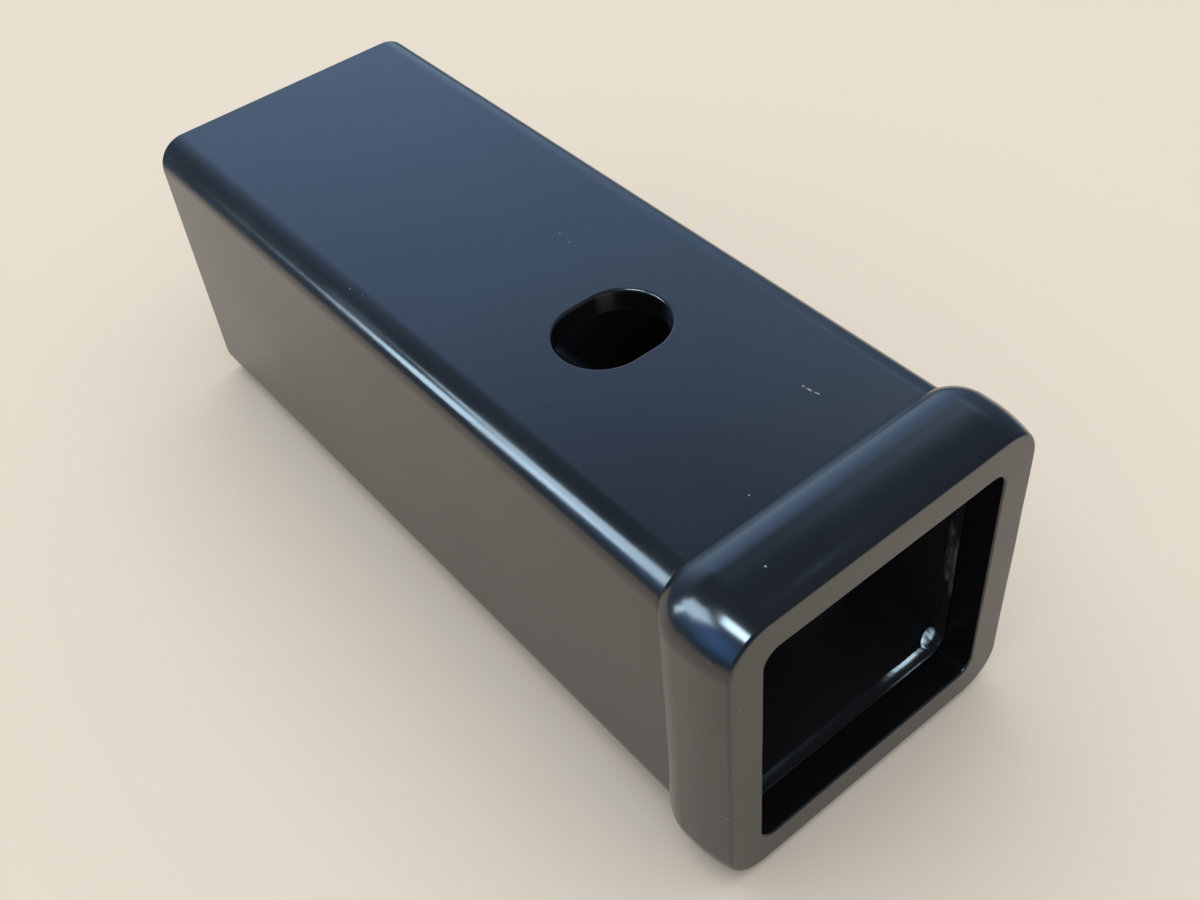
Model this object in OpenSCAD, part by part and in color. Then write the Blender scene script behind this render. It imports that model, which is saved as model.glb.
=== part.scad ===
// Hitch drawbar adapter: a square steel shank that slides into a receiver and takes a smaller
// square drawbar in its own bore. A forged collar caps the front end and stops against the receiver.
// Millimetres. Y runs along the shank, from the collar at -Y to the open tail at +Y, and Z is up.
// The origin is where the axis of the pin slots crosses the centre line of the shank.

/* [Shank] */
// Outside width of the square tube
tube_w = 63.5; // [58:0.5:76]
// Wall of the tube
tube_wall = 4.76; // [4:0.01:6.4]
// Outside corner radius of the tube
tube_corner_r = 6.35; // [5.5:0.05:9]
// Inside corner radius of the tube
tube_inner_r = 3.2; // [1:0.1:4.5]
// Length over all, from the collar's front face to the tail
overall_len = 177.8; // [140:0.1:300]
// Chamfer round the outside of the tail
tail_chamfer = 0.5; // [0.2:0.1:1.2]

/* [Pin slots] */
// Width of a slot along the shank
slot_w = 17.5; // [14:0.1:20]
// Length of a slot across the shank, between its round ends
slot_len = 22; // [20.5:0.1:26]
// Distance of the slots' axis from the collar's front face
slot_at = 65; // [50:0.5:85]
// Chamfer round the slots on the outside of the tube
slot_chamfer = 0.4; // [0.2:0.1:0.8]

/* [Collar] */
// Depth of the collar, from its front face to where its back meets the tube
collar_depth = 17.4; // [16:0.1:22]
// Height of the collar's crown above the tube
collar_rise = 3.1; // [2.4:0.1:4.5]
// Distance of the crown from the front face
crown_at = 8.8; // [7:0.1:10]
// Height of the front face's outer edge above the tube
front_rise = 1.6; // [0.8:0.1:2]
// Radius of the collar's rounded back
back_r = 9.1; // [6:0.1:11]
// Radius that breaks the front face's outer edge
edge_r = 0.9; // [0.4:0.1:1.4]
// Thickness of the front lip that covers the end of the tube
lip_t = 6.35; // [5:0.05:8]
// How far the lip stands in from the inside of the tube
lip_step = 0.75; // [0.5:0.05:1.2]
// Corner radius of the square mouth
mouth_r = 3.2; // [2:0.1:6]
// Chamfer round the mouth
mouth_chamfer = 0.4; // [0.2:0.1:0.8]
// Gap on each side between the tube and its seat in the collar
seat_fit = 0.1; // [0.05:0.05:0.3]

/* [Inner weld] */
// Length of the weld bead along the tube
weld_len = 4.6; // [3.5:0.1:6]
// Distance of the bead's highest line from the lip
weld_crest_at = 0.8; // [0.4:0.1:1.2]
// Corner radius of the bead where it meets the tube's flat walls
weld_corner_r = 5.5; // [4.7:0.1:7]

/* [Hidden] */

// Segments in a full circle, and in one so large that only a short arc of it shows
$fn = 96;
large_fn = 384;
// How far a cutting shape runs past what it cuts
past = 1;
// How far a stretch of a section runs on under its neighbour
run_on = 1;
// How far neighbouring stretches stand past each other, so that their outlines cross and don't just touch
cross = 0.01;
paint = [0.10, 0.105, 0.115];

// Places along Y
front_y = -slot_at;
seat_y = front_y + lip_t;
tail_y = front_y + overall_len;

// Place of a slot's round ends across the tube
end_at = (slot_len - slot_w) / 2;

// The tube's inside, the mouth and the seat
bore_w = tube_w - 2 * tube_wall;
mouth_w = bore_w - 2 * lip_step;
seat_w = tube_w + 2 * seat_fit;

// The collar's outer section, with heights measured out from the centres of the tube's corner rounds
crown_u = tube_corner_r + collar_rise;
dome_fall = collar_rise - front_rise;
dome_r = (pow(crown_at, 2) + pow(dome_fall, 2)) / (2 * dome_fall);
edge_u = crown_u - dome_r + sqrt(pow(dome_r - edge_r, 2) - pow(crown_at - edge_r, 2));
edge_end = crown_at - dome_r * (crown_at - edge_r) / (dome_r - edge_r);
back_at = collar_depth - sqrt(pow(back_r, 2) - pow(back_r - collar_rise, 2));

// The bead's arc is highest at its crest and runs out on the tube's wall
weld_h = lip_step;
weld_run = weld_len - weld_crest_at;
weld_arc_r = (pow(weld_run, 2) + pow(weld_h, 2)) / (2 * weld_h);
// The bead fills the tube's corners, so it runs on further there
weld_corner_fill = (sqrt(2) - 1) * (weld_corner_r - tube_inner_r);
weld_reach = weld_len + 2 * weld_corner_fill + past;

// Square with round corners, centred on the origin
module rounded_square(side, corner_r) {
  inset = side / 2 - corner_r;
  square([side, 2 * inset], center = true);
  square([2 * inset, side], center = true);
  for (x = [-inset, inset], y = [-inset, inset])
    translate([x, y]) circle(r = corner_r);
}

// Square bar along Y, from one place to another
module square_bar(side, corner_r, from_y, to_y) {
  translate([0, to_y, 0])
    rotate([90, 0, 0])
      linear_extrude(height = to_y - from_y)
        rounded_square(side, corner_r);
}

// Carries a section round a square: straight along the four sides, turned at the four corners.
// The section is drawn with x out from the corner centres and y along the shank.
module swept_round_square(side, corner_r, depth) {
  inset = side / 2 - corner_r;
  translate([-inset, 0, -inset])
    cube([2 * inset, depth, 2 * inset]);
  for (turn = [0:90:270])
    rotate([0, turn, 0])
      translate([inset, 0, inset]) {
        rotate([0, -90, 0])
          linear_extrude(height = 2 * inset)
            children();
        rotate([0, -90, 0])
          rotate([-90, 0, 0])
            rotate_extrude(angle = 90)
              children();
      }
}

// The stretch of a section between two depths
module stretch(from_y, to_y) {
  intersection() {
    translate([0, from_y]) square([2 * crown_u, to_y - from_y]);
    children();
  }
}

// Section of the collar's outside: a broken front edge, a long low dome up to the crown, a flat on
// the crown and a rounded back that drops to the tube
module collar_section() {
  square([tube_corner_r, collar_depth]);
  stretch(0, edge_r) {
    square([edge_u, edge_r]);
    translate([edge_u + cross, edge_r - cross]) circle(r = edge_r);
  }
  stretch(edge_end, crown_at + run_on)
    translate([crown_u - dome_r, crown_at]) circle(r = dome_r, $fn = large_fn);
  stretch(crown_at, back_at)
    square([crown_u - cross, collar_depth]);
  stretch(back_at - run_on, collar_depth)
    translate([crown_u - back_r, back_at]) circle(r = back_r);
}

// Section of the clear way through the bead, which starts in front of the bead
module weld_way_section() {
  difference() {
    square([weld_corner_r + weld_corner_fill + past, weld_reach + 2 * past]);
    translate([weld_corner_r - weld_h + weld_arc_r, past + weld_crest_at])
      circle(r = weld_arc_r, $fn = large_fn);
  }
}

// Section of the tube's outside, with its tail chamfered
module tube_section() {
  tube_len = tail_y - seat_y;
  chamfer_u = tube_corner_r - tail_chamfer;
  polygon([[0, 0], [tube_corner_r, 0], [tube_corner_r, tube_len - tail_chamfer],
           [chamfer_u, tube_len], [0, tube_len]]);
}

// One slot cut down through both the top and the bottom wall, with half-round ends
module pin_slots() {
  translate([0, 0, -tube_w / 2 - past])
    linear_extrude(height = tube_w + 2 * past) {
      square([2 * end_at, slot_w], center = true);
      for (x = [-end_at, end_at])
        translate([x, 0]) circle(d = slot_w);
    }
}

// Taper that breaks a slot's edge: a cone at each end and a wedge between them
module slot_break() {
  reach = slot_chamfer + past;
  half_w = slot_w / 2;
  translate([0, 0, tube_w / 2 - slot_chamfer]) {
    for (x = [-end_at, end_at])
      translate([x, 0, 0])
        cylinder(h = reach, r1 = half_w, r2 = half_w + reach);
    translate([-end_at, 0, 0])
      rotate([90, 0, 90])
        linear_extrude(height = 2 * end_at)
          polygon([[-half_w, 0], [half_w, 0], [half_w + reach, reach], [-half_w - reach, reach]]);
  }
}

// Taper that breaks the mouth's edge
module mouth_break() {
  reach = mouth_chamfer + past;
  translate([0, front_y - past, 0])
    swept_round_square(mouth_w, mouth_r, reach)
      polygon([[0, 0], [mouth_r + reach, 0], [mouth_r, reach], [0, reach]]);
}

// Shank: a length of square tube, slotted through its top and bottom walls
module tube() {
  color(paint)
    difference() {
      translate([0, seat_y, 0])
        swept_round_square(tube_w, tube_corner_r, tail_y - seat_y)
          tube_section();
      square_bar(bore_w, tube_inner_r, seat_y - past, tail_y + past);
      pin_slots();
      for (turn = [0, 180])
        rotate([0, turn, 0]) slot_break();
    }
}

// Forged collar: a domed ring whose lip covers the tube's end, with the tube seated behind the lip
module collar() {
  color(paint)
    difference() {
      translate([0, front_y, 0])
        swept_round_square(tube_w, tube_corner_r, collar_depth)
          collar_section();
      square_bar(mouth_w, mouth_r, front_y - past, seat_y + past);
      mouth_break();
      square_bar(seat_w, tube_corner_r + seat_fit, seat_y, front_y + collar_depth + past);
    }
}

// Weld bead inside, in the step between the collar's lip and the tube's bore
module inner_weld() {
  color(paint)
    difference() {
      square_bar(bore_w, tube_inner_r, seat_y, seat_y + weld_reach);
      translate([0, seat_y - past, 0])
        swept_round_square(bore_w, weld_corner_r, weld_reach + 2 * past)
          weld_way_section();
    }
}

tube();
collar();
inner_weld();
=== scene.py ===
# Hitch drawbar adapter in black enamel: a slotted square shank, a forged collar round its front end and
# the weld bead inside the mouth. Metres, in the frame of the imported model: Y runs along the shank from
# the collar at -Y to the open tail at +Y, Z is up, and the axis of the pin slots goes through the origin.
import math

import bpy
import numpy as np
from mathutils import Matrix, Vector


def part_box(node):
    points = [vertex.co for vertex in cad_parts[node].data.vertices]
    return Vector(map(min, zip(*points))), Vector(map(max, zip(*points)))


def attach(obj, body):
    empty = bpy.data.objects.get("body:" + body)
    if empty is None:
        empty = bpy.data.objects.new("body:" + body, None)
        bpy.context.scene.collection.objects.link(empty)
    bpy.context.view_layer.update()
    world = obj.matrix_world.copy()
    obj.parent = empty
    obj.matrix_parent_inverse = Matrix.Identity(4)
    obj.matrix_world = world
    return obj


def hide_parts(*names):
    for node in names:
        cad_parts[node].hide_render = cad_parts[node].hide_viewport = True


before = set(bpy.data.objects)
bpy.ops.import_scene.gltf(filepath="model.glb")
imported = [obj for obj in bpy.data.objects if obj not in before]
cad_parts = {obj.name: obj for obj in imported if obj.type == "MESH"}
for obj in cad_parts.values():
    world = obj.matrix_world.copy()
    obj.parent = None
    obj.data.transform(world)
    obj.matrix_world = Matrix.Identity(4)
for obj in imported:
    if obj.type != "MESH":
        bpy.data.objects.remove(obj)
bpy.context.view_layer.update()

MM = 0.001

# The three pieces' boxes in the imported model
tube_low, tube_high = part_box("tube")
collar_low, collar_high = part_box("collar")
weld_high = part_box("inner_weld")[1]

# Shank
TUBE_HALF = tube_high.x
TUBE_CORNER = 6.35 * MM
TUBE_INSET = TUBE_HALF - TUBE_CORNER
TUBE_FRONT_Y = tube_low.y
TAIL_Y = tube_high.y
BORE_HALF = weld_high.x
BORE_CORNER = 3.2 * MM
BORE_INSET = BORE_HALF - BORE_CORNER
TAIL_ROUND = 0.6 * MM
BORE_ROUND = 0.35 * MM

# Pin slots
SLOT_RADIUS = 8.75 * MM
SLOT_END_X = 2.25 * MM
SLOT_ROUND = 0.6 * MM
SLOT_INNER_ROUND = 0.3 * MM
SLOT_FIELD_Y = 12 * MM
SLOT_FIELD_SHARE = 0.6

# Collar
FRONT_Y = collar_low.y
CROWN_U = collar_high.x - TUBE_INSET
FOOT_Y = collar_high.y
CROWN_AT = 8.8 * MM
FRONT_RISE = 1.6 * MM
BACK_RADIUS = 9.1 * MM
EDGE_ROUND = 0.9 * MM
PAINT_FILLET = 0.5 * MM
SEAT_GAP = 0.1 * MM
LIP_STEP = 0.75 * MM
LIP_Y = TUBE_FRONT_Y
MOUTH_HALF = BORE_HALF - LIP_STEP
MOUTH_CORNER = 3.2 * MM
MOUTH_INSET = MOUTH_HALF - MOUTH_CORNER
MOUTH_ROUND = 0.5 * MM
LIP_ROUND = 0.25 * MM

# Weld bead
WELD_CORNER = 5.5 * MM
WELD_INSET = BORE_HALF - WELD_CORNER
WELD_LENGTH = 4.6 * MM
WELD_CREST = 0.8 * MM
SHOULDER_AT = 0.40 * MM
SHOULDER_DROP = 0.12 * MM
SHOULDER_WIDTH = 0.12 * MM
SLOPE_AT = 1.9 * MM
SLOPE = 0.51
CORNER_SLOPE = 0.62
SLOPE_ROUND = 0.22 * MM
WELD_SINK = 0.10 * MM
RIPPLE_LENGTH = 1.5 * MM
RIPPLE_HEIGHT = 0.012 * MM
RIPPLE_BOW = 0.9
WELD_WANDER = 0.04 * MM
WIDTH_WANDER = 0.12 * MM
WANDER_SEED = 7
WANDER_WAVES = (5, 9, 17, 31)

# Unevenness of the forging and of the rolled tube: its depth, and its swells as a seed, a count and the
# longest and the shortest wavelength
FORGED_DEPTH = 0.16 * MM
FORGED_SWELLS = (4, 7, 34 * MM, 13 * MM)
ROLLED_DEPTH = 0.08 * MM
ROLLED_SWELLS = (11, 6, 90 * MM, 40 * MM)

# Fineness of the grids: points along a side, steps round a corner, rows along the shank, and rings of
# a slot's field, which crowd together towards the slot
COLLAR_SIDE_POINTS = 45
COLLAR_CORNER_STEPS = 20
FIELD_SIDE_POINTS = 41
BESIDE_FIELD_POINTS = 9
TUBE_CORNER_STEPS = 16
SLOT_ROWS = 31
FRONT_ROWS = 19
TAIL_ROWS = 42
FIELD_RINGS = 7
RINGS_CROWD_OUTSIDE = 0.8
RINGS_CROWD_INSIDE = 1.2
WELD_SIDE_POINTS = 225
WELD_CORNER_STEPS = 28
WELD_ROWS = 41

# Paint. Its roughness has a least and a most. Between the two levels of noise of the breaks and of the
# rags, a scratch or a streak of painted reflection goes from nothing to its full strength.
PAINT_COLOUR = (0.0045, 0.0048, 0.0052, 1.0)
THIN_PAINT_COLOUR = (0.013, 0.014, 0.016, 1.0)
BARE_COLOUR = (0.30, 0.32, 0.34, 1.0)
# The lighter colour of the weld bead's streaks is a painted reflection
PAINTED_REFLECTION_COLOUR = (0.13, 0.14, 0.125, 1.0)
PAINT_IOR = 1.7
ENAMEL_ROUGHNESS = (0.14, 0.22)
WELD_ROUGHNESS = (0.33, 0.39)
DUST_ROUGHNESS = 0.6
CLOUD_SIZE = 30 * MM
PEEL_SIZE = 2.4 * MM
PEEL_DEPTH = 0.010 * MM
GRAIN_SIZE = 0.3 * MM
GRAIN_DEPTH = 0.0012 * MM
NIB_RADIUS = 0.7 * MM
NIB_HEIGHT = 0.10 * MM
SCRATCH_BREAK_SIZE = 0.5 * MM
SCRATCH_BREAKS = (0.38, 0.5)
STREAK_RAG_SIZE = 1.6 * MM
STREAK_RAGS = (0.36, 0.56)

# Where the bore's thin paint begins and ends: past its wall, behind the lip and before the tail
THIN_PAST_WALL = 0.6 * MM
THIN_BEHIND_LIP = (-0.5 * MM, 1.5 * MM)
THIN_BEFORE_TAIL = (1.5 * MM, 0.2 * MM)

# Marks on the paint, in millimetres in the part's frame: a scratch in two strokes in front of the slot,
# each from one point to another with its width, specks of dust with their sizes, nibs where dirt lies
# under the paint, and streaks on the right of the weld bead where a reflection is painted in a lighter
# colour
SCRATCHES = [((13.1, -33.1, 31.7), (13.2, -34.7, 31.7), 0.24),
             ((13.2, -34.6, 31.7), (13.6, -36.3, 31.7), 0.16)]
DUST = [((-9.9, -44.5, 31.7), 0.26), ((-19.5, -57.9, 34.7), 0.32), ((10.3, 27.7, 31.7), 0.20),
        ((9.8, 24.3, 31.7), 0.17), ((-27.2, 42.4, 31.4), 0.24), ((-26.8, 38.8, 31.6), 0.17)]
NIBS = [(-33.6, -61.5, 28.6), (-31.5, -64.9, 18.3), (-33.5, -64.4, -10.7)]
# Streaks on the weld bead where a reflection is painted in a lighter colour
PAINTED_REFLECTION_STREAKS = [((26.4, -56.2, 6.0), (26.4, -56.6, -7.5), 1.3),
             ((26.4, -57.9, 4.0), (26.3, -58.2, -12.0), 0.6)]

# Floor. In the paint's mirror it fades to the room's far side between two distances.
FLOOR_COLOUR = (0.77, 0.71, 0.62, 1.0)
FAR_COLOUR = (0.16, 0.24, 0.36, 1.0)
FADE_FROM = 0.20
FADE_TO = 0.38
FLOOR_ROUGHNESS = 0.8
FLOOR_HALF = 4.0

# Light. A glow on the room's walls is its azimuth, elevation, tightness and colour. The ceiling's edge is
# soft between two elevations. A mirrored lamp is its name, azimuth, elevation, width, height, shine and
# lean. Two lamps in the bore shine on the weld bead alone: one before the tail, for the daylight that
# comes through, and a small one low behind the bead.
DAYLIGHT = (0.62, 0.83, 1.0)
WHITE = (1.0, 0.98, 0.95)
LAMP_DISTANCE = 1.3
EVEN_LIGHT = (0.66, 0.66, 0.66, 1.0)
BACKDROP_COLOUR = (0.80, 0.78, 0.74, 1.0)
ROOM_COLOUR = (0.12, 0.18, 0.26, 1.0)
GLOWS = [(153, 25, 6.5, (0.47, 0.72, 1.22, 1.0)), (151, 3, 30, (0.30, 0.40, 0.35, 1.0)),
         (122, 42, 80, (0.40, 0.55, 0.62, 1.0)), (262, 22, 14, (0.25, 0.75, 1.9, 1.0))]
CEILING = (38, 58)
MIRRORED_LAMPS = [("window_left", -123, 36, 0.41, 0.62, 8.2, -29),
                  ("window_left_sill", -130.5, 16, 0.20, 0.41, 10.3, -29),
                  ("lamp_left", -82, 61, 0.54, 0.32, 21, 0),
                  ("glow_right", 86.5, 62.7, 0.05, 0.05, 1.1, 0)]
TAIL_LAMP_PLACE = Vector((0, TAIL_Y - 4 * MM, 0))
TAIL_LAMP_SIZE = 1.2 * BORE_HALF
TAIL_LAMP_SHINE = 11
GLINT_FOOT = Vector((23.4 * MM, LIP_Y + 3.5 * MM, -26.6 * MM))
GLINT_WAY = Vector((0.18, 0.95, 0.25)).normalized()
GLINT_DISTANCE = 9 * MM
GLINT_WIDTH = 8 * MM
GLINT_HEIGHT = 4 * MM
GLINT_SHINE = 4.0
GLINT_SPREAD = 80
OVERHEAD_ELEVATION = 84
OVERHEAD_DISTANCE = 1.6
OVERHEAD_SIZE = 2.4
OVERHEAD_SHINE = 1.0

# Camera, as it stood for the photograph
CAMERA_AIM = Vector((-20.3, -21.4, 31.75)) * MM
CAMERA_DISTANCE = 221.1 * MM
CAMERA_AZIMUTH = -34.96
CAMERA_ELEVATION = 45.58
CAMERA_ROLL = 6.24
CAMERA_LENS = 41.89
CAMERA_NEAR = 0.01


# Surfaces

def square_path(fractions, corner_steps):
    """A walk round a rounded square, counter-clockwise in X-Z from the low end of its +X side.

    Gives two arrays with a row for each point: the walk of the corner centre on the square whose corners
    are at (+-1, +-1), and the outward direction. A rounded square whose corner centres lie inset from the
    middle, with corner radius r, is inset * walk + r * outward.
    """
    turn = np.radians(np.linspace(0, 90, corner_steps + 1))[1:-1]
    side_walk = np.column_stack([np.ones_like(fractions), fractions])
    side_out = np.tile([1.0, 0.0], (len(fractions), 1))
    corner_walk = np.ones((len(turn), 2))
    corner_out = np.column_stack([np.cos(turn), np.sin(turn)])
    walk = np.vstack([side_walk, corner_walk])
    outward = np.vstack([side_out, corner_out])
    quarter_turn = np.array([[0.0, 1.0], [-1.0, 0.0]])
    turns = [np.linalg.matrix_power(quarter_turn, k) for k in range(4)]
    return np.vstack([walk @ t for t in turns]), np.vstack([outward @ t for t in turns])


def arc(inset, centre, radius, start, end, steps, side=1):
    """Rows of a section that go round a circle: corner inset, u, y, and the outward direction in (u, y).

    u is measured out from the corner centre and y along the shank. Angle 0 points along +u and 90 along
    +y. With side -1 the solid lies outside the circle, so the outward direction points at its centre.
    """
    angle = np.radians(np.linspace(start, end, steps + 1))
    out = np.column_stack([np.cos(angle), np.sin(angle)])
    place = np.array(centre) + radius * out
    return np.column_stack([np.full(len(angle), inset), place, side * out])


def run(first, last, steps):
    """Rows of a section on the straight line from one row to another, both left out."""
    share = np.linspace(0, 1, steps + 1)[1:-1, None]
    return (1 - share) * first + share * last


def sweep(section, path):
    """Carries a section's rows round a rounded square. Gives a grid of points and one of directions."""
    walk, outward = path
    inset, u, y, out_u, out_y = (column[:, None] for column in section.T)
    level = np.ones((1, len(walk)))
    points = np.stack([inset * walk[:, 0] + u * outward[:, 0], y * level,
                       inset * walk[:, 1] + u * outward[:, 1]], axis=-1)
    normals = np.stack([out_u * outward[:, 0], out_y * level, out_u * outward[:, 1]], axis=-1)
    return points, normals


def grid_faces(rows, columns, closed_rows):
    """Four-sided faces between neighbours on a grid of points whose columns close on themselves."""
    row = np.arange(rows if closed_rows else rows - 1)
    row, column = np.meshgrid(row, np.arange(columns), indexing="ij")
    next_row = (row + 1) % rows
    next_column = (column + 1) % columns
    corners = [row * columns + column, next_row * columns + column,
               next_row * columns + next_column, row * columns + next_column]
    return np.stack(corners, axis=-1).reshape(-1, 4)


def patch(points, normals, closed_rows=False):
    """A grid as one patch: points, directions and faces."""
    rows, columns = points.shape[:2]
    return points.reshape(-1, 3), normals.reshape(-1, 3), grid_faces(rows, columns, closed_rows)


def joined(patches, tolerance=0.2e-6):
    """Patches as one surface. Points that fall together become one, and each face is turned so that it
    looks the way its corners' directions point."""
    first = np.cumsum([0] + [len(p[0]) for p in patches])
    points = np.vstack([p[0] for p in patches])
    normals = np.vstack([p[1] for p in patches])
    faces = np.vstack([p[2] + start for p, start in zip(patches, first)])
    cell = np.round(points / tolerance).astype(np.int64)
    _, kept, merged = np.unique(cell, axis=0, return_index=True, return_inverse=True)
    points, normals, faces = points[kept], normals[kept], merged.reshape(-1)[faces]
    a, b, c, d = (points[faces[:, k]] for k in range(4))
    looks = np.cross(c - a, d - b)
    wanted = normals[faces].sum(axis=1)
    backward = np.einsum("ij,ij->i", looks, wanted) < 0
    faces[backward] = faces[backward][:, ::-1]
    return points, normals / np.linalg.norm(normals, axis=1, keepdims=True), faces


def uneven(points, normals, depth, waves):
    """Sinks a surface by the slow swells of a forging or a rolled tube, and tilts its directions to suit.

    The sink is depth * (1 - the mean of sin(wave . point + phase)) / 2 along the direction, where each
    row of waves holds a wave vector per metre and a phase, and depth is one number or one for each point.
    It is never outward, so the piece keeps inside its first size.
    """
    waves = np.array(waves)
    angle = points @ waves[:, :3].T + waves[:, 3]
    share = depth / (2 * len(waves))
    sink = depth / 2 - share * np.sin(angle).sum(axis=1, keepdims=True)
    slope = -share * (np.cos(angle) @ waves[:, :3])
    slope -= np.einsum("ij,ij->i", slope, normals)[:, None] * normals
    moved = points - sink * normals
    tilted = normals + slope
    return moved, tilted / np.linalg.norm(tilted, axis=1, keepdims=True)


def swells(seed, count, longest, shortest):
    """Wave vectors in random directions with wavelengths between two lengths, and random phases."""
    rng = np.random.default_rng(seed)
    direction = rng.normal(size=(count, 3))
    direction /= np.linalg.norm(direction, axis=1, keepdims=True)
    length = rng.uniform(shortest, longest, size=(count, 1))
    phase = rng.uniform(0, 2 * math.pi, size=(count, 1))
    return np.hstack([direction * 2 * math.pi / length, phase])


def add_piece(name, node, surface, material):
    """Makes the mesh of a surface, gives it its exact shading directions and lets it stand for a node."""
    points, normals, faces = surface
    mesh = bpy.data.meshes.new(name)
    mesh.from_pydata(points.tolist(), [], faces.tolist())
    mesh.polygons.foreach_set("use_smooth", np.ones(len(faces), dtype=bool))
    mesh.normals_split_custom_set_from_vertices(normals.tolist())
    mesh.materials.append(material)
    piece = bpy.data.objects.new(name, mesh)
    bpy.context.scene.collection.objects.link(piece)
    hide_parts(node)
    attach(piece, "root")
    return piece


# Collar

def collar_section():
    """The collar's closed section: the paint fillet at its foot, the rounded back, the crown, the long
    dome to the front edge, the flat front, the rounded mouth, the lip and the seat that holds the tube.

    The dome's radius makes it level at the crown and brings it down by its fall at the front face. The
    paint fillet touches both the tube and the back, so its centre lies a sum of radii from the back's.
    """
    dome_fall = CROWN_U - TUBE_CORNER - FRONT_RISE
    dome_radius = (CROWN_AT ** 2 + dome_fall ** 2) / (2 * dome_fall)
    dome_centre = np.array([CROWN_U - dome_radius, FRONT_Y + CROWN_AT])
    edge_y = FRONT_Y + EDGE_ROUND
    edge_reach = dome_radius - EDGE_ROUND
    edge_u = dome_centre[0] + math.sqrt(edge_reach ** 2 - (edge_y - dome_centre[1]) ** 2)
    edge_angle = math.degrees(math.asin((edge_y - dome_centre[1]) / edge_reach))

    rise = CROWN_U - TUBE_CORNER
    back_y = FOOT_Y - math.sqrt(BACK_RADIUS ** 2 - (BACK_RADIUS - rise) ** 2)
    back_centre = np.array([CROWN_U - BACK_RADIUS, back_y])
    fillet_u = TUBE_CORNER + PAINT_FILLET
    fillet_reach = BACK_RADIUS + PAINT_FILLET
    fillet_y = back_y + math.sqrt(fillet_reach ** 2 - (fillet_u - back_centre[0]) ** 2)
    meet_angle = math.degrees(math.atan2(fillet_y - back_y, fillet_u - back_centre[0]))

    fillet = arc(TUBE_INSET, (fillet_u, fillet_y), PAINT_FILLET, 180, 180 + meet_angle, 6, side=-1)
    back = arc(TUBE_INSET, back_centre, BACK_RADIUS, meet_angle, 0, 22)
    dome = arc(TUBE_INSET, dome_centre, dome_radius, 0, edge_angle, 16)
    edge = arc(TUBE_INSET, (edge_u, edge_y), EDGE_ROUND, edge_angle, -90, 8)
    mouth = arc(MOUTH_INSET, (MOUTH_CORNER + MOUTH_ROUND, FRONT_Y + MOUTH_ROUND), MOUTH_ROUND,
                -90, -180, 6)
    lip_edge = arc(MOUTH_INSET, (MOUTH_CORNER + LIP_ROUND, LIP_Y - LIP_ROUND), LIP_ROUND, 180, 90, 4)
    seat_u = TUBE_CORNER + SEAT_GAP
    seat = np.array([[TUBE_INSET, seat_u, LIP_Y, -1.0, 1.0],
                     [TUBE_INSET, seat_u, FOOT_Y, -1.0, 0.0]])
    return np.vstack([fillet, back[1:], run(back[-1], dome[0], 3), dome, edge[1:],
                      run(edge[-1], mouth[0], 6), mouth, run(mouth[-1], lip_edge[0], 8), lip_edge,
                      run(lip_edge[-1], seat[0], 3), seat])


def collar_surface():
    """The collar's section carried round, with the swells that the forging dies left."""
    path = square_path(np.linspace(-1, 1, COLLAR_SIDE_POINTS), COLLAR_CORNER_STEPS)
    points, normals, faces = joined([patch(*sweep(collar_section(), path), closed_rows=True)])
    moved, tilted = uneven(points, normals, FORGED_DEPTH, swells(*FORGED_SWELLS))
    return moved, tilted, faces


# Shank

def slot_outline(count):
    """Centre offsets and outward directions of evenly spaced points round a pin slot, from its +X end:
    the edge point of a slot grown by g is (offset + (radius + g) * cos, (radius + g) * sin)."""
    quarter = math.pi * SLOT_RADIUS / 2
    straight = 2 * SLOT_END_X
    stations = np.cumsum([0, quarter, straight, 2 * quarter, straight, quarter])
    along = np.arange(count) / count * stations[-1]
    angle = np.radians(np.interp(along, stations, [0, 90, 90, 270, 270, 360]))
    end = SLOT_END_X
    offset = np.interp(along, stations, [end, end, -end, -end, end, end])
    return offset, np.column_stack([np.cos(angle), np.sin(angle)])


def field_loop(inset, share, rows_y):
    """Points round the rectangle that a slot's field takes out of a wall, from the middle of its +X side."""
    x = inset * share
    middle = len(rows_y) // 2
    low_x, high_x = x[0], x[-1]
    low_y, high_y = rows_y[0], rows_y[-1]
    right = np.column_stack([np.full(len(rows_y), high_x), rows_y])
    top = np.column_stack([x[::-1], np.full(len(x), high_y)])
    left = np.column_stack([np.full(len(rows_y), low_x), rows_y[::-1]])
    bottom = np.column_stack([x, np.full(len(x), low_y)])
    return np.vstack([right[middle:-1], top[:-1], left[:-1], bottom[:-1], right[:middle]])


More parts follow.
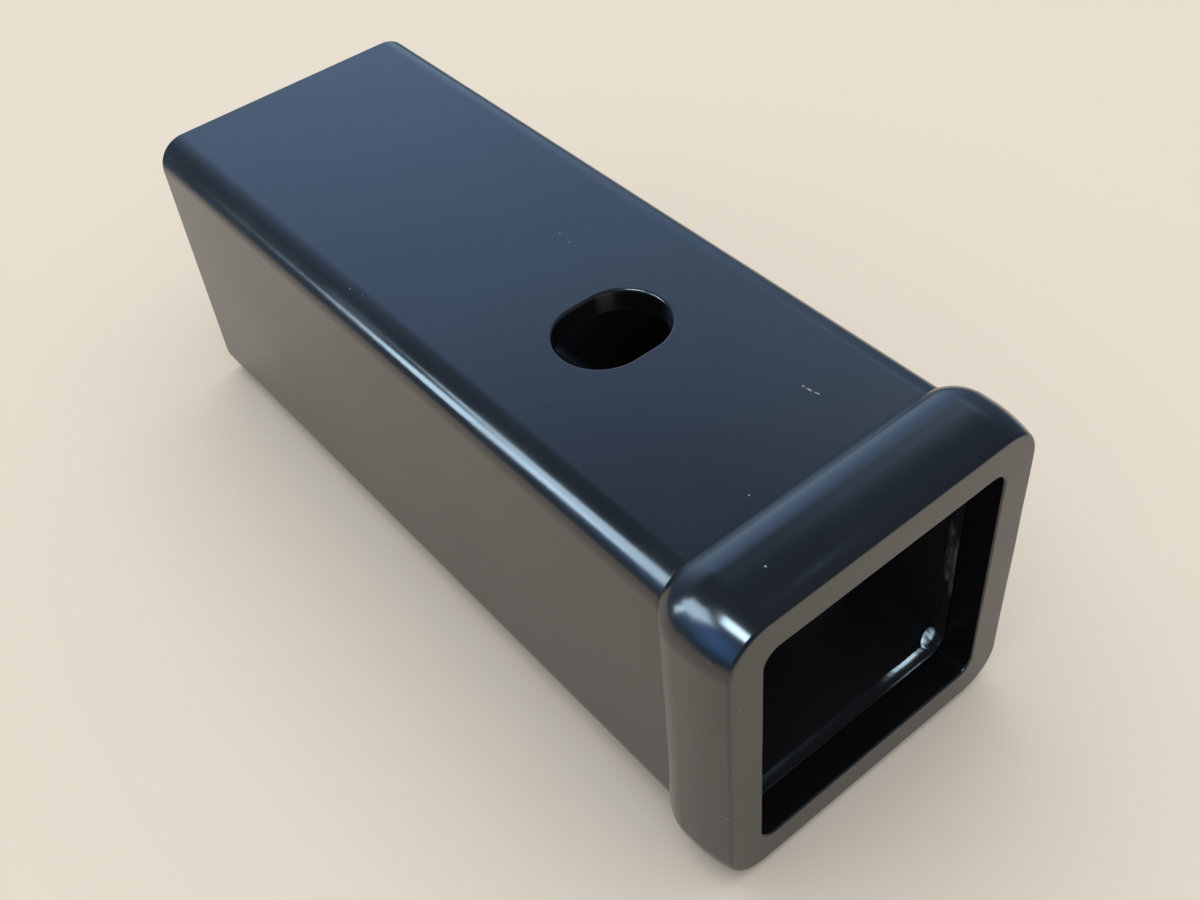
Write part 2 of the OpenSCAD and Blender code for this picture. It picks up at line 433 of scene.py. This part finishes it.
def slot_patch(share, rows_y, upside_down):
    """One slot through one wall, as rings from the field's rectangle on the outside, in to the slot's
    rounded rim, down its wall, round its inner rim and out to the rectangle on the inside."""
    outside = field_loop(TUBE_INSET, share, rows_y)
    inside = field_loop(BORE_INSET, share, rows_y)
    offset, out = slot_outline(len(outside))
    rings = []

    def edge(grow):
        return np.column_stack([offset + (SLOT_RADIUS + grow) * out[:, 0],
                                (SLOT_RADIUS + grow) * out[:, 1]])

    def ring(flat, height, lean, up):
        point = np.column_stack([flat, np.full(len(flat), height)])
        rings.append((point, np.column_stack([-lean * out, np.full(len(flat), up)])))

    for k in range(FIELD_RINGS):
        share_in = (k / FIELD_RINGS) ** RINGS_CROWD_OUTSIDE
        ring((1 - share_in) * outside + share_in * edge(SLOT_ROUND), TUBE_HALF, 0.0, 1.0)
    for angle in np.radians(np.linspace(0, 90, 8)):
        ring(edge(SLOT_ROUND * (1 - math.sin(angle))), TUBE_HALF - SLOT_ROUND * (1 - math.cos(angle)),
             math.sin(angle), math.cos(angle))
    for height in np.linspace(TUBE_HALF - SLOT_ROUND, BORE_HALF + SLOT_INNER_ROUND, 6)[1:-1]:
        ring(edge(0.0), height, 1.0, 0.0)
    for angle in np.radians(np.linspace(90, 180, 5)):
        ring(edge(SLOT_INNER_ROUND * (1 - math.sin(angle))),
             BORE_HALF + SLOT_INNER_ROUND * (1 + math.cos(angle)), math.sin(angle), math.cos(angle))
    for k in range(1, FIELD_RINGS + 1):
        share_out = (k / FIELD_RINGS) ** RINGS_CROWD_INSIDE
        ring((1 - share_out) * edge(SLOT_INNER_ROUND) + share_out * inside, BORE_HALF, 0.0, -1.0)
    points = np.array([r[0] for r in rings])
    normals = np.array([r[1] for r in rings])
    if upside_down:
        points[..., [0, 2]] *= -1
        normals[..., [0, 2]] *= -1
    return patch(points, normals)


def tube_section(rows_y):
    """The tube's closed section: along the outside to the tail's rounded edges, back along the bore, and
    over its front end, which lies hidden in the collar."""
    def level(inset, u, out_u):
        count = len(rows_y)
        return np.column_stack([np.full(count, inset), np.full(count, u), rows_y,
                                np.full(count, out_u), np.zeros(count)])

    tail_edge = arc(TUBE_INSET, (TUBE_CORNER - TAIL_ROUND, TAIL_Y - TAIL_ROUND), TAIL_ROUND, 0, 90, 6)
    bore_edge = arc(BORE_INSET, (BORE_CORNER + BORE_ROUND, TAIL_Y - BORE_ROUND), BORE_ROUND, 90, 180, 4)
    outside = level(TUBE_INSET, TUBE_CORNER, 1.0)
    inside = level(BORE_INSET, BORE_CORNER, -1.0)[::-1]
    return np.vstack([outside, tail_edge, run(tail_edge[-1], bore_edge[0], 3), bore_edge, inside])


def tube_surface():
    """The tube swept along its section, with the slots' fields cut from its top and bottom walls and a
    slot patch set into each."""
    fine = np.linspace(-SLOT_FIELD_SHARE, SLOT_FIELD_SHARE, FIELD_SIDE_POINTS)
    coarse = np.linspace(SLOT_FIELD_SHARE, 1, BESIDE_FIELD_POINTS)[1:]
    path = square_path(np.concatenate([-coarse[::-1], fine, coarse]), TUBE_CORNER_STEPS)
    slot_rows = np.linspace(-SLOT_FIELD_Y, SLOT_FIELD_Y, SLOT_ROWS)
    front_rows = np.linspace(TUBE_FRONT_Y, -SLOT_FIELD_Y, FRONT_ROWS)[:-1]
    tail_rows = np.linspace(SLOT_FIELD_Y, TAIL_Y - TAIL_ROUND, TAIL_ROWS)[1:-1]
    section = tube_section(np.concatenate([front_rows, slot_rows, tail_rows]))
    points, normals, faces = patch(*sweep(section, path), closed_rows=True)
    middle = points[faces].mean(axis=1)
    on_wall = np.abs(normals[faces][..., 2]).min(axis=1) > 0.99
    in_outer_skin = np.abs(middle[:, 2]) > (TUBE_HALF + BORE_HALF) / 2
    share = np.abs(middle[:, 0]) / np.where(in_outer_skin, TUBE_INSET, BORE_INSET)
    in_field = on_wall & (share < SLOT_FIELD_SHARE) & (np.abs(middle[:, 1]) < SLOT_FIELD_Y)
    shell = points, normals, faces[~in_field]
    points, normals, faces = joined([shell, slot_patch(fine, slot_rows, False),
                                     slot_patch(fine, slot_rows, True)])
    out = np.abs(points[:, [0, 2]]).max(axis=1)
    depth = ROLLED_DEPTH * np.clip((out - BORE_HALF) / (TUBE_HALF - BORE_HALF), 0, 1)[:, None]
    moved, tilted = uneven(points, normals, depth, swells(*ROLLED_SWELLS))
    return moved, tilted, faces


# Weld bead

def weld_surface():
    """The bead in the step between the lip and the bore.

    Its height over the bore starts level with the mouth, drops a little over a shoulder, stays level,
    and then falls on an even slope to its toe: with soft(x) = log(1 + e^x), which bends smoothly from
    level to slope, the fall is slope * round * (soft((depth - start) / round) - soft((depth - end) /
    round)). In the corners the bead is higher, by (bore inset - bead inset) * (cos + sin - 1) of the
    outward direction's angle, and runs on as far as a circle through the flat walls' crest and toe
    would. Crescent ripples follow each other along it, and its height and its width wander a little.
    Its toe and its back lie a little way in the tube's wall, with which it is fused.
    """
    path = square_path(np.linspace(-1, 1, WELD_SIDE_POINTS), WELD_CORNER_STEPS)
    outward = path[1]
    corner = (np.abs(outward).sum(axis=1) - 1) / (math.sqrt(2) - 1)
    full = LIP_STEP + (BORE_INSET - WELD_INSET) * (np.abs(outward).sum(axis=1) - 1)
    slope_run = WELD_LENGTH - WELD_CREST
    crest_radius = (slope_run ** 2 + LIP_STEP ** 2) / (2 * LIP_STEP)
    reach = WELD_CREST + np.sqrt(crest_radius ** 2 - (crest_radius - full) ** 2)
    share = np.linspace(0, 1, WELD_ROWS)[:, None]
    depth = share * reach

    wall = np.array([[BORE_INSET, BORE_CORNER, LIP_Y, -1.0, 0.0]])
    bore = sweep(wall, path)[0]
    radial = np.stack([outward[:, 0], np.zeros(len(outward)), outward[:, 1]], axis=-1)
    steps = np.linalg.norm(np.roll(bore[0], -1, axis=0) - bore[0], axis=1)
    walk = np.concatenate([[0], np.cumsum(steps)[:-1]]) / steps.sum()
    rng = np.random.default_rng(WANDER_SEED)
    wander = sum(rng.uniform(-1, 1) * np.sin(2 * math.pi * k * walk + rng.uniform(0, 6))
                 for k in WANDER_WAVES) / len(WANDER_WAVES)

    slope = SLOPE + (CORNER_SLOPE - SLOPE) * corner
    start = SLOPE_AT + WIDTH_WANDER * wander
    end = start + (full - SHOULDER_DROP + WELD_SINK) / slope
    shoulder = SHOULDER_DROP * (1 + np.tanh((depth - SHOULDER_AT) / SHOULDER_WIDTH)) / 2
    fall = slope * SLOPE_ROUND * (np.logaddexp(0, (depth - start) / SLOPE_ROUND)
                                  - np.logaddexp(0, (depth - end) / SLOPE_ROUND))
    ripples = round(steps.sum() / RIPPLE_LENGTH)
    crescent = 2 * math.pi * (ripples * walk + RIPPLE_BOW * (2 * share - 1) ** 2)
    relief = RIPPLE_HEIGHT * (np.sin(crescent) - 1) + WELD_WANDER * (wander - 1)
    height = np.maximum(full - shoulder - fall + relief * np.sin(math.pi * share), -WELD_SINK)
    height[-1] = -WELD_SINK

    top = bore - height[..., None] * radial
    top[..., 1] += depth
    points = np.vstack([top, bore + WELD_SINK * radial])
    down = np.gradient(top, axis=0)
    around = np.roll(top, -1, axis=1) - np.roll(top, 1, axis=1)
    facing = np.cross(around, down)
    facing /= np.linalg.norm(facing, axis=-1, keepdims=True)
    outside = np.einsum("ijk,jk->ij", facing, radial) > 0
    facing[outside] *= -1
    normals = np.vstack([facing, radial[None]])
    return joined([patch(points, normals, closed_rows=True)])


# Materials

def add_node(tree, kind, inputs=None, **settings):
    """Adds a node, sets its properties, and fills its inputs with numbers or joins them to outputs."""
    node = tree.nodes.new(kind)
    for name, value in settings.items():
        setattr(node, name, value)
    for key, value in (inputs or {}).items():
        if isinstance(value, bpy.types.NodeSocket):
            tree.links.new(value, node.inputs[key])
        else:
            node.inputs[key].default_value = value
    return node


def math_node(tree, operation, *values, clamp=False):
    """The output of a Math node."""
    inputs = dict(enumerate(values))
    return add_node(tree, "ShaderNodeMath", inputs, operation=operation, use_clamp=clamp).outputs[0]


def ramp(tree, value, from_low, from_high, to_low=0.0, to_high=1.0):
    """A value brought smoothly from one range to another, and held at its ends."""
    inputs = {"Value": value, "From Min": from_low, "From Max": from_high,
              "To Min": to_low, "To Max": to_high}
    return add_node(tree, "ShaderNodeMapRange", inputs, interpolation_type="SMOOTHSTEP").outputs["Result"]


def noise(tree, place, size, detail=2.0, roughness=0.5):
    """Noise whose patches are about size across."""
    inputs = {"Vector": place, "Scale": 1 / size, "Detail": detail, "Roughness": roughness}
    return add_node(tree, "ShaderNodeTexNoise", inputs).outputs["Fac"]


def bump(tree, height, distance, before=None):
    """Leans the surface by a height from 0 to 1 that stands for that distance, over an earlier bump."""
    inputs = {"Height": height, "Distance": distance, "Strength": 1.0}
    if before is not None:
        inputs["Normal"] = before
    return add_node(tree, "ShaderNodeBump", inputs).outputs["Normal"]


def near_point(tree, place, point, radius):
    """1 at a point of the surface, falling smoothly to 0 at the radius round it."""
    inputs = {0: place, 1: Vector(point) * MM}
    away = add_node(tree, "ShaderNodeVectorMath", inputs, operation="DISTANCE").outputs["Value"]
    return ramp(tree, away, 0.0, radius, 1.0, 0.0)


def near_line(tree, place, start, end, radius):
    """1 on the line between two points of the surface, falling smoothly to 0 at the radius round it. The
    nearest place on the line is start + share * way, with share = (place - start) . way / way . way."""
    start = Vector(start) * MM
    way = Vector(end) * MM - start
    from_start = add_node(tree, "ShaderNodeVectorMath", {0: place, 1: start},
                          operation="SUBTRACT").outputs[0]
    along = add_node(tree, "ShaderNodeVectorMath", {0: from_start, 1: way},
                     operation="DOT_PRODUCT").outputs["Value"]
    share = math_node(tree, "DIVIDE", along, way.length_squared, clamp=True)
    on_line = add_node(tree, "ShaderNodeVectorMath", {0: way, "Scale": share},
                       operation="SCALE").outputs[0]
    away = add_node(tree, "ShaderNodeVectorMath", {0: from_start, 1: on_line},
                    operation="DISTANCE").outputs["Value"]
    return ramp(tree, away, 0.3 * radius, radius, 1.0, 0.0)


def either(tree, masks):
    """The largest of several masks."""
    most = masks[0]
    for mask in masks[1:]:
        most = math_node(tree, "MAXIMUM", most, mask)
    return most


def blend(tree, share, first, second):
    """From one colour to another by a share."""
    return add_node(tree, "ShaderNodeMix", {"Factor": share, 6: first, 7: second},
                    data_type="RGBA").outputs[2]


def inside_bore(tree, place):
    """1 on the bore's walls, where the spray gun hardly reaches and the paint lies thin and dry."""
    parts = add_node(tree, "ShaderNodeSeparateXYZ", {0: place}).outputs
    across = math_node(tree, "MAXIMUM", math_node(tree, "ABSOLUTE", parts["X"]),
                       math_node(tree, "ABSOLUTE", parts["Z"]))
    in_bore = ramp(tree, across, BORE_HALF, BORE_HALF + THIN_PAST_WALL, 1.0, 0.0)
    behind_lip = ramp(tree, parts["Y"], LIP_Y + THIN_BEHIND_LIP[0], LIP_Y + THIN_BEHIND_LIP[1])
    before_tail = ramp(tree, parts["Y"], TAIL_Y - THIN_BEFORE_TAIL[0], TAIL_Y - THIN_BEFORE_TAIL[1],
                       1.0, 0.0)
    return math_node(tree, "MULTIPLY", math_node(tree, "MULTIPLY", in_bore, behind_lip), before_tail)


def black_enamel(name, roughness, streaks):
    """Gloss black enamel, sprayed and baked: orange peel over a fine grain, thin in the bore, with the
    nibs, the dust and the few scratches that the photograph shows, and streaks where a reflection is
    painted in a lighter colour. Its roughness goes from the least to the most in soft clouds."""
    material = bpy.data.materials.new(name)
    material.use_nodes = True
    tree = material.node_tree
    tree.nodes.clear()
    place = add_node(tree, "ShaderNodeTexCoord").outputs["Object"]
    peel = noise(tree, place, PEEL_SIZE, detail=1.0)
    grain = noise(tree, place, GRAIN_SIZE, detail=2.0)
    nibs = either(tree, [near_point(tree, place, point, NIB_RADIUS) for point in NIBS])
    lean = bump(tree, peel, PEEL_DEPTH)
    lean = bump(tree, grain, GRAIN_DEPTH, lean)
    lean = bump(tree, nibs, NIB_HEIGHT, lean)

    breaks = ramp(tree, noise(tree, place, SCRATCH_BREAK_SIZE, detail=1.0), *SCRATCH_BREAKS)
    scratches = either(tree, [near_line(tree, place, start, end, width * MM)
                              for start, end, width in SCRATCHES])
    dust = either(tree, [near_point(tree, place, point, size * MM) for point, size in DUST])
    pale = math_node(tree, "MAXIMUM", math_node(tree, "MULTIPLY", scratches, breaks), dust)
    thin = inside_bore(tree, place)
    colour = blend(tree, thin, PAINT_COLOUR, THIN_PAINT_COLOUR)
    colour = blend(tree, pale, colour, BARE_COLOUR)
    if streaks:
        # Painted reflection: streaks of a lighter colour on the weld bead, with ragged edges
        ragged = ramp(tree, noise(tree, place, STREAK_RAG_SIZE, detail=3.0), *STREAK_RAGS)
        painted_reflection = either(tree, [near_line(tree, place, start, end, width * MM)
                             for start, end, width in streaks])
        colour = blend(tree, math_node(tree, "MULTIPLY", painted_reflection, ragged), colour, PAINTED_REFLECTION_COLOUR)

    cloud = noise(tree, place, CLOUD_SIZE, detail=4.0)
    rough = ramp(tree, cloud, 0.3, 0.7, *roughness)
    rough = math_node(tree, "MAXIMUM", rough, math_node(tree, "MULTIPLY", pale, DUST_ROUGHNESS))
    inputs = {"Base Color": colour, "Roughness": rough, "IOR": PAINT_IOR, "Normal": lean}
    shader = add_node(tree, "ShaderNodeBsdfPrincipled", inputs)
    add_node(tree, "ShaderNodeOutputMaterial", {"Surface": shader.outputs[0]})
    return material


enamel = black_enamel("black_enamel", ENAMEL_ROUGHNESS, [])
weld_enamel = black_enamel("black_enamel_on_weld", WELD_ROUGHNESS, PAINTED_REFLECTION_STREAKS)
add_piece("collar_forging", "collar", collar_surface(), enamel)
add_piece("shank_tube", "tube", tube_surface(), enamel)
weld_bead = add_piece("weld_bead", "inner_weld", weld_surface(), weld_enamel)


# Floor

def floor_paint():
    """A plain matt finish. Only the paint's mirror shows it fade with the distance from the middle."""
    material = bpy.data.materials.new("floor_paint")
    material.use_nodes = True
    tree = material.node_tree
    tree.nodes.clear()
    place = add_node(tree, "ShaderNodeTexCoord").outputs["Object"]
    away = add_node(tree, "ShaderNodeVectorMath", {0: place}, operation="LENGTH").outputs["Value"]
    mirrored = add_node(tree, "ShaderNodeLightPath").outputs["Is Glossy Ray"]
    fade = math_node(tree, "MULTIPLY", ramp(tree, away, FADE_FROM, FADE_TO), mirrored)
    colour = blend(tree, fade, FLOOR_COLOUR, FAR_COLOUR)
    inputs = {"Base Color": colour, "Roughness": FLOOR_ROUGHNESS, "Specular IOR Level": 0.0}
    shader = add_node(tree, "ShaderNodeBsdfPrincipled", inputs)
    add_node(tree, "ShaderNodeOutputMaterial", {"Surface": shader.outputs[0]})
    return material


def add_floor(half_size):
    """A flat floor that touches the collar's crown and the tail, the two lines that the adapter rests on.
    The crown stands lower than the tube, so in the part's frame the floor slopes by about a degree."""
    crown_y = FRONT_Y + CROWN_AT
    crown_z = collar_low.z
    slope = (tube_low.z - crown_z) / (TAIL_Y - crown_y)
    corners = [(sx * half_size, sy * half_size, crown_z + (sy * half_size - crown_y) * slope)
               for sx, sy in ((-1, -1), (1, -1), (1, 1), (-1, 1))]
    mesh = bpy.data.meshes.new("floor")
    mesh.from_pydata(corners, [], [(0, 1, 2, 3)])
    mesh.materials.append(floor_paint())
    floor = bpy.data.objects.new("floor", mesh)
    bpy.context.scene.collection.objects.link(floor)


add_floor(FLOOR_HALF)


# Light

def toward(azimuth, elevation):
    """The direction of an azimuth and an elevation in degrees. Azimuth 0 is at -Y and 90 at +X."""
    a, e = math.radians(azimuth), math.radians(elevation)
    return Vector((math.sin(a) * math.cos(e), -math.cos(a) * math.cos(e), math.sin(e)))


def add_light(name, place, way, width, height, shine, colour, mirrored, lean=0):
    """A soft rectangular lamp at a place, that shines against its way and is turned about it by its lean
    in degrees. Shine is how bright its face looks, where 1 is white, at the full spread. The paint
    mirrors the lamp, or else the lamp only lights."""
    lamp = bpy.data.lights.new(name, "AREA")
    lamp.shape = "RECTANGLE"
    lamp.size = width
    lamp.size_y = height
    lamp.energy = shine * width * height * math.pi
    lamp.color = colour
    light = bpy.data.objects.new(name, lamp)
    turn = way.to_track_quat("Z", "Y").to_matrix().to_4x4() @ Matrix.Rotation(math.radians(lean), 4, "Z")
    light.matrix_world = Matrix.Translation(place) @ turn
    light.visible_camera = False
    light.visible_glossy = mirrored
    light.visible_diffuse = not mirrored
    bpy.context.scene.collection.objects.link(light)
    return light


def shine_only_on(light, piece):
    """Keeps a lamp's light to one piece."""
    lit = bpy.data.collections.new(light.name + "_lit")
    lit.objects.link(piece)
    light.light_linking.receiver_collection = lit


def add_mirrored_lamp(name, azimuth, elevation, width, height, shine, lean):
    """A window or lamp of the studio that stands off the adapter in a direction and shows in its paint."""
    way = toward(azimuth, elevation)
    add_light(name, way * LAMP_DISTANCE, way, width, height, shine, DAYLIGHT, True, lean)


def add_world(lit, backdrop, room, glows, ceiling):
    """The studio round the adapter. It lights by an even colour and stands as a pale backdrop behind the
    floor. The paint mirrors a dim room with glows on its walls: the room's colour, and each glow's
    colour times max(0, direction . glow's direction) ^ tightness, which ends where the ceiling begins."""
    world = bpy.data.worlds.new("studio")
    bpy.context.scene.world = world
    world.use_nodes = True
    tree = world.node_tree
    tree.nodes.clear()
    direction = add_node(tree, "ShaderNodeTexCoord").outputs["Generated"]
    height = add_node(tree, "ShaderNodeSeparateXYZ", {0: direction}).outputs["Z"]
    start, end = (math.sin(math.radians(angle)) for angle in ceiling)
    wall = ramp(tree, height, start, end, 1.0, 0.0)
    mirrored = room
    for azimuth, elevation, tightness, colour in glows:
        facing = add_node(tree, "ShaderNodeVectorMath", {0: direction, 1: toward(azimuth, elevation)},
                          operation="DOT_PRODUCT").outputs["Value"]
        share = math_node(tree, "POWER", math_node(tree, "MAXIMUM", facing, 0.0), tightness)
        mirrored = add_node(tree, "ShaderNodeMix", {"Factor": math_node(tree, "MULTIPLY", share, wall),
                                                    6: mirrored, 7: colour},
                            data_type="RGBA", blend_type="ADD", clamp_factor=True).outputs[2]
    rays = add_node(tree, "ShaderNodeLightPath").outputs
    seen = blend(tree, rays["Is Camera Ray"], lit, backdrop)
    shown = blend(tree, rays["Is Glossy Ray"], seen, mirrored)
    back = add_node(tree, "ShaderNodeBackground", {"Color": shown, "Strength": 1.0})
    add_node(tree, "ShaderNodeOutputWorld", {"Surface": back.outputs[0]})


add_world(EVEN_LIGHT, BACKDROP_COLOUR, ROOM_COLOUR, GLOWS, CEILING)
for lamp in MIRRORED_LAMPS:
    add_mirrored_lamp(*lamp)
through_tail = add_light("light_through_tail", TAIL_LAMP_PLACE, Vector((0, 1, 0)),
                         TAIL_LAMP_SIZE, TAIL_LAMP_SIZE, TAIL_LAMP_SHINE, DAYLIGHT, True)
shine_only_on(through_tail, weld_bead)
glint = add_light("glint_on_weld", GLINT_FOOT + GLINT_DISTANCE * GLINT_WAY, GLINT_WAY,
                  GLINT_WIDTH, GLINT_HEIGHT, GLINT_SHINE, DAYLIGHT, True)
glint.data.spread = math.radians(GLINT_SPREAD)
shine_only_on(glint, weld_bead)
overhead_way = toward(180, OVERHEAD_ELEVATION)
add_light("overhead", overhead_way * OVERHEAD_DISTANCE, overhead_way,
          OVERHEAD_SIZE, OVERHEAD_SIZE, OVERHEAD_SHINE, WHITE, False)


# Camera

def add_camera():
    """Stands the camera off its aim by its distance, turned by azimuth and elevation, then rolled."""
    back = toward(CAMERA_AZIMUTH, CAMERA_ELEVATION)
    lens = bpy.data.cameras.new("camera")
    lens.lens = CAMERA_LENS
    lens.clip_start = CAMERA_NEAR
    camera = bpy.data.objects.new("camera", lens)
    turn = (-back).to_track_quat("-Z", "Y").to_matrix().to_4x4()
    roll = Matrix.Rotation(math.radians(-CAMERA_ROLL), 4, "Z")
    camera.matrix_world = Matrix.Translation(CAMERA_AIM + back * CAMERA_DISTANCE) @ turn @ roll
    bpy.context.scene.collection.objects.link(camera)
    bpy.context.scene.camera = camera


add_camera()
bpy.context.scene.view_settings.view_transform = "Standard"
